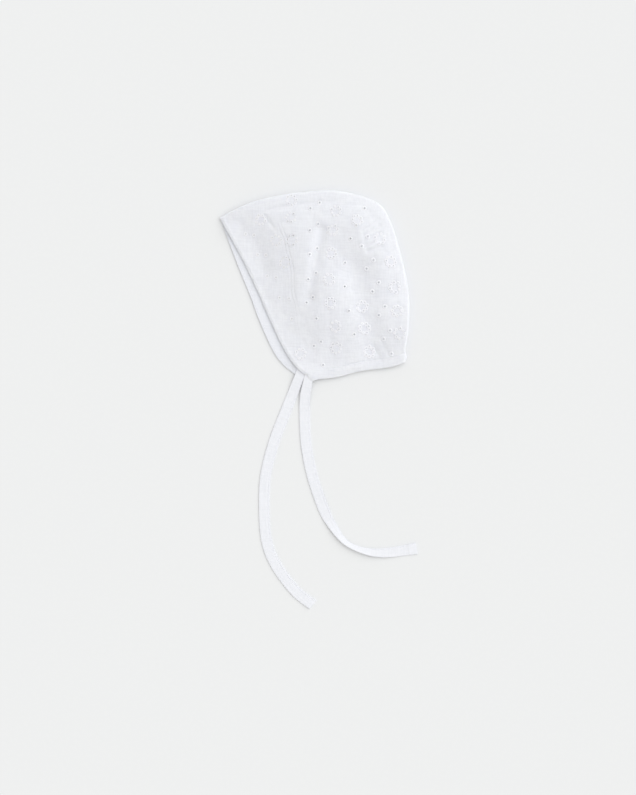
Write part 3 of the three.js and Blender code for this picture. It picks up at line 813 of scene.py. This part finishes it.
def grid_faces(rows, columns):
    number = np.arange(rows * columns).reshape(rows, columns)
    corners = (number[:-1, :-1], number[1:, :-1], number[1:, 1:], number[:-1, 1:])
    return np.stack([corner.ravel() for corner in corners], axis=1)


def where(line, test):
    """The stretch of a line whose points pass a test."""
    fine = evenly(line, SEARCH_POINTS)
    return fine[test(fine)]


def layer(name, edge, inner, height, upward, drop, long, deep, thickness):
    grid = blended(edge, inner, long, deep)
    spots = grid.reshape(-1, 2)
    faces = grid_faces(long, deep)
    points = lifted(spots, height)
    a, b, c = points[faces[0, :3]]
    if (np.cross(b - a, c - a)[2] > 0) != upward:
        faces = faces[:, ::-1]
    triangles = np.vstack([faces[:, [0, 1, 2]], faces[:, [0, 2, 3]]])
    thing = wall(name, points, faces, thickness, drop)
    size = np.ptp(spots, axis=0) * MM
    return thing, tuple(size), area_of(points, triangles)


# %% Facings and hems
LAYER_WALL = 0.5
LAYER_GAP = 0.08
EDGE_SET_IN = 0.3
FACING_CLEAR = 3.0
FACING_GRID = (150, 28)
HEM_CLEAR = 2.6
HEM_GRID = (90, 8)
inner_drop = (WALL + LAYER_WALL) / 2 + LAYER_GAP
layers = {}


def past_ridge(distance, start=-math.inf):
    """A test for places further from the ridge than a distance, and to the right of a start."""
    return lambda line: (nearest_on(ridge, line)[0] > distance) & (line[:, 0] > start)


for name, node, face, inner, height, upward in (
    ("facing_near", "front_facing_near", near_face, near_inner, upper_height, True),
    ("facing_far", "front_facing_far", far_face, far_inner, lower_height, False),
):
    edge = where(moved_right(face, -EDGE_SET_IN), past_ridge(FACING_CLEAR))
    depth = where(inner, past_ridge(FACING_CLEAR))
    layers[name] = layer(name, edge, depth, height, upward, inner_drop, *FACING_GRID, LAYER_WALL)
    dress(layers[name][0], plain_cotton)
    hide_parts(node)

for name, node, neck, start, height, upward in (
    ("hem_near", "neck_hem_near", near_neck, -4.0, upper_height, True),
    ("hem_far", "neck_hem_far", far_neck, -12.0, lower_height, False),
):
    turned = where(moved_right(neck, -EDGE_SET_IN), past_ridge(HEM_CLEAR, start))
    sewn = where(moved_right(neck, -NECK_HEM), past_ridge(HEM_CLEAR, start))
    layers[name] = layer(name, turned, sewn, height, upward, inner_drop, *HEM_GRID, LAYER_WALL)
    dress(layers[name][0], plain_cotton)
    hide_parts(node)

# %% Seam allowance
ALLOWANCE = 6.0
ALLOWANCE_WALL = 0.9
ALLOWANCE_SET_IN = 0.45
ALLOWANCE_ENDS = 0.35
ALLOWANCE_GRID = (240, 6)
ALLOWANCE_RIPPLE = 0.15
ALLOWANCE_WAVE = (0.35, 0.28)
sewn_ridge = where(ridge, lambda line: near_an_end(line) < ALLOWANCE_ENDS)
allowance = layer(
    "seam_allowance", moved_right(sewn_ridge, ALLOWANCE_SET_IN), moved_right(sewn_ridge, ALLOWANCE),
    lambda spots: seam_height(spots) + ALLOWANCE_RIPPLE * np.sin(spots @ ALLOWANCE_WAVE),
    True, 0.0, *ALLOWANCE_GRID, ALLOWANCE_WALL)
dress(allowance[0], plain_cotton)

# %% [markdown]
# ## Satin stitch
# Round every hole the thread lies side by side, pulled from the hole outward. Each worked edge is a
# low ring with a groove between its threads, and all rings of a panel are joined to one mesh.

# %% Worked edges
RIM_HEIGHT = 0.30
RIM_LEAN = 0.35
RIM_SPAN = 0.67
RIM_PROFILE = 7
RIM_SINK = 0.05
SATIN_THREAD = 0.42
GROOVE = 0.22


def satin_rings(name, height, side, holes):
    """All worked edges of a panel. side is 1 on the upper panel and -1 on the lower one."""
    points, flat, faces = [], [], []
    for centre, radius, rim in holes:
        sides = 2 * int(2 * math.pi * (radius + rim / 2) / SATIN_THREAD)
        turns = np.arange(sides) / sides * 2 * math.pi
        around = np.arange(RIM_PROFILE) / RIM_PROFILE * 2 * math.pi
        groove = 1 - GROOVE * (np.arange(sides) % 2)
        reach = radius + rim * RIM_LEAN - rim * RIM_SPAN * np.cos(around)
        lift = np.sin(around) * (RIM_HEIGHT * rim if side > 0 else WORKED_LIFT)
        x = centre[0] + np.cos(turns)[:, None] * reach
        y = centre[1] + np.sin(turns)[:, None] * reach
        spots = np.column_stack([x.ravel(), y.ravel()])
        z = height(spots) + side * (WALL / 2 + (lift * groove[:, None]).ravel() - RIM_SINK)
        first = sum(map(len, points))
        points.append(np.column_stack([spots, z]))
        flat.append(points[-1])
        i, j = np.meshgrid(np.arange(sides), np.arange(RIM_PROFILE), indexing="ij")
        next_i, next_j = (i + 1) % sides, (j + 1) % RIM_PROFILE
        corners = [(i, j), (next_i, j), (next_i, next_j), (i, next_j)]
        quads = np.stack([(a * RIM_PROFILE + b).ravel() for a, b in corners], axis=1) + first
        faces.append(quads if side < 0 else quads[:, ::-1])
    return piece(name, np.vstack(points), np.vstack(faces), np.vstack(flat), RIM_SMOOTH)


embroidery_near = satin_rings("embroidery_near", upper_height, 1, near_holes)
embroidery_far = satin_rings("embroidery_far", lower_height, -1, far_holes)
for thing in (embroidery_near, embroidery_far):
    dress(thing, mercerised_cotton)

# %% [markdown]
# ## The ties
# A tie is a strip of the same cotton folded lengthwise, with its raw edges turned in and stitched
# along one side. Its section is a flat hairpin: one round edge, and one edge where the two layers
# lie on each other. The section is swept along the tie's route by arc length. Where the upper tie
# curls it is gathered narrower and leans a little towards the light.

# %% Routes of the ties
# Across and down are shares of the tie's length, roll is in degrees and spread a share of the width.
# A negative roll lifts the right edge, seen along the tie.
NEAR_TIE = [
    (0.000, 0.000, 0, 0.84), (-0.014, 0.068, 0, 0.96), (-0.018, 0.136, 0, 1.00),
    (-0.012, 0.268, 0, 1.00), (0.013, 0.400, 0, 1.00), (0.059, 0.534, 2, 1.00),
    (0.094, 0.600, -8, 0.80), (0.138, 0.659, -24, 0.56), (0.188, 0.690, -30, 0.54),
    (0.255, 0.707, -18, 0.74), (0.321, 0.707, -6, 0.88), (0.388, 0.698, 0, 0.98),
    (0.432, 0.691, 0, 1.09),
]
FAR_TIE = [
    (0.000, 0.000, 0, 0.90), (-0.054, 0.138, 0, 1.00), (-0.104, 0.269, 0, 1.00),
    (-0.136, 0.400, 0, 1.00), (-0.142, 0.531, 0, 1.00), (-0.131, 0.662, 0, 1.00),
    (-0.092, 0.760, 0, 1.00), (-0.017, 0.859, 0, 1.00), (0.051, 0.912, 0, 1.04),
]
TIE_WIDTH = 9.8
TIE_LAYER = 0.5
TIE_THICKNESS = 1.2
TIE_TUCK = 8.0
TUCK_SECTIONS = 8
TIE_SECTIONS = 260
NEAR_TIE_LENGTH = 225.0
FAR_TIE_LENGTH = 227.0
NEAR_TIE_START = (0.470, 0.014)
FAR_TIE_START = (0.421, 0.019)
NEAR_TIE_LANDING = 0.16
FAR_TIE_LANDING = 0.10

# %% Section of a tie
# Bends are shares of the width: the round edge, the slot between the layers, and the open edge.
ROUND_BEND = 0.06
SLOT_BEND = 0.01
OPEN_BEND = 0.01
# The hem at the end, the fine creases, and the row of stitches with the dip that it pulls.
END_HEM = (7.5, 7.0)
END_HEM_SWELL = 0.20
CREASE_SWELL = 0.05
CREASE_WAVES = (0.9, 0.23)
ROW_DIP = 0.25
ROW_DIP_PLACE = 0.72
ROW_DIP_WIDTH = 0.12
ROW_PLACE = 0.76
ROW_RISE = 0.86


def hairpin(steps=10, bend=4):
    """The section of a folded strip, one unit wide, as (across, up) with up from -1 to 1."""
    half, tip_up, layer_share = 0.5, 0.5, 2 * TIE_LAYER / TIE_THICKNESS
    across = np.linspace(half - OPEN_BEND, -half + ROUND_BEND, steps)
    outer = [(x, 1.0) for x in across]
    turns = np.linspace(math.pi / 2, 3 * math.pi / 2, bend + 2)[1:-1]
    centre = -half + ROUND_BEND
    outer_bend = [(centre + ROUND_BEND * math.cos(turn), math.sin(turn)) for turn in turns]
    inner = 1 - layer_share
    inner_bend = [(centre + SLOT_BEND * math.cos(turn), inner * math.sin(turn)) for turn in turns]
    lower = [(x, -1.0) for x in across[::-1]]
    tip = [(half, -tip_up)]
    slot_low = [(x, -inner) for x in across]
    slot_high = [(x, inner) for x in across[::-1]]
    return np.array([*outer, *outer_bend, *lower, *tip, *slot_low, *inner_bend[::-1], *slot_high,
                     (half, tip_up)])


def tie_route(rows, start, length):
    """Places, roll and spread along a tie, with its tucked stretch first."""
    rows = np.asarray(rows, float)
    corner = place([start])[0]
    rows[:, 0] = corner[0] + rows[:, 0] * length
    rows[:, 1] = corner[1] - rows[:, 1] * length
    route = smooth(rows, TIE_SECTIONS)
    ahead = route[1, :2] - route[0, :2]
    ahead /= np.linalg.norm(ahead)
    back = np.linspace(-TIE_TUCK, 0, TUCK_SECTIONS, endpoint=False)[:, None]
    tucked = np.column_stack([route[0, :2] + back * ahead, np.tile(route[0, 2:], (len(back), 1))])
    return np.vstack([tucked, route])


def tie_piece(name, rows, start, length, top, landed):
    route = tie_route(rows, start, length)
    section = hairpin()
    ahead = np.gradient(route[:, :2], axis=0)
    ahead /= np.linalg.norm(ahead, axis=1)[:, None]
    steps = np.linalg.norm(np.diff(route[:, :2], axis=0), axis=1)
    run = np.concatenate([[0], np.cumsum(steps)]) - TIE_TUCK
    roll = np.radians(route[:, 2])
    cosine, sine = np.cos(roll), np.sin(roll)
    left = np.column_stack([-ahead[:, 1] * cosine, ahead[:, 0] * cosine, sine])
    upward = np.column_stack([ahead[:, 1] * sine, -ahead[:, 0] * sine, cosine])
    half = TIE_WIDTH * route[:, 3] / 2
    level = top * (1 - step_up(run / length, 0, landed))
    hem = 1 + END_HEM_SWELL * step_up(run, length - END_HEM[0], length - END_HEM[1])
    crease = 1 + CREASE_SWELL * np.sin(run * CREASE_WAVES[0]) * np.sin(run * CREASE_WAVES[1] + 1)
    swell = hem * crease
    lift = half * np.abs(sine) + TIE_THICKNESS / 2 * swell * cosine
    middle = np.column_stack([route[:, :2], level + lift])
    across = section[:, 0] * 2
    dip = ROW_DIP * bell(across - ROW_DIP_PLACE, ROW_DIP_WIDTH)
    puffed = section[:, 1] * (1 - dip) * TIE_THICKNESS / 2
    points = (
        middle[:, None]
        + left[:, None] * (across[None, :] * half[:, None])[:, :, None]
        + upward[:, None] * (puffed[None, :] * swell[:, None])[:, :, None]
    )
    count = len(section)
    flat = np.stack(np.broadcast_arrays(across[None, :] * half[:, None], run[:, None],
                                        section[None, :, 1]), axis=2)
    number = np.arange(len(route) * count).reshape(len(route), count)
    after = np.roll(number, -1, axis=1)
    quads = np.stack([number[:-1], after[:-1], after[1:], number[1:]], axis=2).reshape(-1, 4)
    caps = [list(number[0][::-1]), list(number[-1])]
    thing = piece(name, points.reshape(-1, 3), [*quads.tolist(), *caps], flat.reshape(-1, 3),
                  ROUND_SMOOTH)
    dress(thing, cotton_tape)
    row = middle + left * (ROW_PLACE * half)[:, None] + upward * (TIE_THICKNESS / 2 * ROW_RISE)
    return thing, run[-1] + TIE_TUCK, (row[TUCK_SECTIONS:], upward[TUCK_SECTIONS:])


# %% Both ties
corner_spots = place([NEAR_TIE_START]) + [(-TIE_WIDTH / 2, 0), (0, 0), (TIE_WIDTH / 2, 0)]
near_top = upper_height(corner_spots).min() - inner_drop - TIE_THICKNESS
far_top = WORKED_LIFT + WALL + inner_drop
tie_near, near_cut, near_edge_row = tie_piece(
    "ribbon_near", NEAR_TIE, NEAR_TIE_START, NEAR_TIE_LENGTH, near_top, NEAR_TIE_LANDING)
tie_far, far_cut, far_edge_row = tie_piece(
    "ribbon_far", FAR_TIE, FAR_TIE_START, FAR_TIE_LENGTH, far_top, FAR_TIE_LANDING)
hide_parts("tie_near")
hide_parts("tie_far")
print(f"ties cut to {near_cut:.0f} and {far_cut:.0f} mm")

# %% [markdown]
# ## Stitching
# Every turned edge is held by a row of machine stitches, about ten to the inch. A stitch is a short
# length of thread that comes up through the cloth and goes down again, so it is made as a small
# capsule whose ends sink in. Rows follow the cloth's own height, so they dip with its folds.

# %% Rows of stitches
STITCH = 2.0
STITCH_GAP = 0.6
THREAD = 0.34
STITCH_SIDES = 6
# Rings of a stitch: their place along it, their size, and their rise in threads.
STITCH_SHAPE = [(0.0, 0.55, -0.35), (0.2, 1.0, 0.15), (0.8, 1.0, 0.15), (1.0, 0.55, -0.35)]


def stitched(name, seams):
    """Rows of stitches. A seam is a path of places and the direction out of the cloth at each."""
    points, faces = [], []
    around = np.arange(STITCH_SIDES) / STITCH_SIDES * 2 * math.pi
    for path, out in seams:
        run = np.concatenate([[0], np.cumsum(np.linalg.norm(np.diff(path, axis=0), axis=1))])
        for begin in np.arange(STITCH_GAP, run[-1] - STITCH, STITCH + STITCH_GAP):
            at = begin + STITCH * np.array([shape[0] for shape in STITCH_SHAPE])
            centres = np.column_stack([np.interp(at, run, column) for column in path.T])
            up = np.array([np.interp(begin, run, column) for column in out.T])
            ahead = centres[-1] - centres[0]
            across = np.cross(ahead / np.linalg.norm(ahead), up)
            first = len(points) * len(around)
            for ring, (_, size, lift) in enumerate(STITCH_SHAPE):
                turn = np.cos(around)[:, None] * across + np.sin(around)[:, None] * up
                points.append(centres[ring] + up * lift * THREAD + turn * size * THREAD / 2)
            number = first + np.arange(len(STITCH_SHAPE) * STITCH_SIDES).reshape(-1, STITCH_SIDES)
            after = np.roll(number, -1, axis=1)
            quads = np.stack([number[:-1], number[1:], after[1:], after[:-1]], axis=2)
            faces += [*quads.reshape(-1, 4).tolist(), number[0].tolist(), number[-1][::-1].tolist()]
    points = np.vstack(points)
    thing = piece(name, points, faces, points, ROUND_SMOOTH)
    dress(thing, mercerised_cotton)
    return thing


def row_on(line, height, rise):
    """A row of places on a panel along a line seen from above, rise above the middle of its cloth."""
    line = evenly(line, int(run_length(line)))
    path = lifted(line, height) + (0, 0, rise)
    return path, np.tile([0.0, 0.0, 1.0], (len(path), 1))


# %% All rows
# How far a row is from its edge or from the hem's line, and how far each row stays from the ridge.
EDGE_ROW = 2.0
HEM_ROW = 0.6
FACING_ROW_ENDS = 4
FACE_ROW_CLEAR = 5.0
NECK_ROW_CLEAR = 6.0
CRESCENT_ROW_CLEAR = 8.0
facing_rows = [
    row_on(moved_right(facing_line, side * FACING_LINE_GAP)[FACING_ROW_ENDS:-FACING_ROW_ENDS],
           upper_height, WALL / 2)
    for side in (-1, 1)
]
face_row = row_on(
    where(moved_right(near_face, -EDGE_ROW), past_ridge(FACE_ROW_CLEAR)), upper_height, WALL / 2)
neck_row = row_on(
    where(moved_right(near_neck, HEM_ROW - NECK_HEM), past_ridge(NECK_ROW_CLEAR, 0.0)),
    upper_height, WALL / 2)
crescent_row = row_on(
    where(moved_right(far_face, -EDGE_ROW), past_ridge(CRESCENT_ROW_CLEAR)),
    lower_height, inner_drop + LAYER_WALL / 2)
stitching_near = stitched("stitching_near", [*facing_rows, face_row, neck_row])
stitching_far = stitched("stitching_far", [crescent_row])
stitching_ties = stitched("stitching_ties", [near_edge_row, far_edge_row])

# %% [markdown]
# The box of each panel's, facing's and hem's outline seen from above and the area of its middle
# surface are worked out, and the panels print their area. The ties were cut twice as wide as they
# lie, because they are folded.

# %% [markdown]
# ## The surface and the light
# The bonnet lies on a plain pale board in a white studio. A broad soft light comes from the upper
# right and the room fills in the rest, so shadows are short and faint. The room is a little warm and
# the key a little cool. A sun lamp with a wide angle lights the whole board evenly, which a small
# lamp close by wouldn't.

# %% Board
# Half of the board's side, in metres.
BOARD = 6.0
board_mesh = bpy.data.meshes.new("board")
corners = [(-BOARD, -BOARD, 0), (BOARD, -BOARD, 0), (BOARD, BOARD, 0), (-BOARD, BOARD, 0)]
board_mesh.from_pydata(corners, [], [(0, 1, 2, 3)])
board = put("board", board_mesh)
matt_paint, paint_tree = empty_finish("matt_painted_board")
paint_place = add(paint_tree, "ShaderNodeTexCoord", {})
paint_noise = add(
    paint_tree, "ShaderNodeTexNoise", {"Scale": 260.0, "Detail": 3.0},
    [("Vector", paint_place.outputs["Object"])])
paint_colour = add(
    paint_tree, "ShaderNodeMix", {"data_type": "RGBA", 6: linear("#e6e7e8"), 7: linear("#e8e9ea")},
    [(0, paint_noise.outputs["Fac"])])
paint_shader = add(
    paint_tree, "ShaderNodeBsdfPrincipled", {"Roughness": 1.0, "Specular IOR Level": 0.0},
    [("Base Color", paint_colour.outputs[2])])
add(paint_tree, "ShaderNodeOutputMaterial", {}, [("Surface", paint_shader.outputs[0])])
board_mesh.materials.append(matt_paint)

# %% Light
ROOM = 0.76
ROOM_COLOUR = (1.0, 0.985, 0.955, 1.0)
KEY = 1.43
KEY_COLOUR = (0.940, 0.970, 1.0)
KEY_SPREAD = 70
KEY_FROM = (0.70, 0.42, 0.95)
world = bpy.data.worlds.new("white_studio")
bpy.context.scene.world = world
world.use_nodes = True
room = world.node_tree.nodes["Background"]
room.inputs["Color"].default_value = ROOM_COLOUR
room.inputs["Strength"].default_value = ROOM
key_data = bpy.data.lights.new("soft_key", "SUN")
key_data.energy = KEY
key_data.angle = math.radians(KEY_SPREAD)
key_data.color = KEY_COLOUR
key = put("soft_key", key_data)
key.rotation_euler = Vector(KEY_FROM).to_track_quat("Z", "Y").to_euler()
bpy.context.scene.view_settings.view_transform = "Standard"

# %% [markdown]
# ## The camera
# The picture is taken from straight above with a long lens, so the outline shows without tilt.

# %% Camera
PICTURE_HEIGHT = 715.5
PICTURE_MIDDLE = (-6.3, -96.75)
FOCUS_HEIGHT = 8.0
LENS = 85.0
SENSOR = 36.0
camera_data = bpy.data.cameras.new("camera")
camera_data.sensor_fit = "VERTICAL"
camera_data.sensor_height = SENSOR
camera_data.lens = LENS
camera_data.clip_end = 20.0
camera = put("camera", camera_data)
distance = PICTURE_HEIGHT * LENS / SENSOR
camera.location = (PICTURE_MIDDLE[0] * MM, PICTURE_MIDDLE[1] * MM, (distance + FOCUS_HEIGHT) * MM)
bpy.context.scene.camera = camera
print(f"camera {distance / 1000:.2f} m above the bonnet")
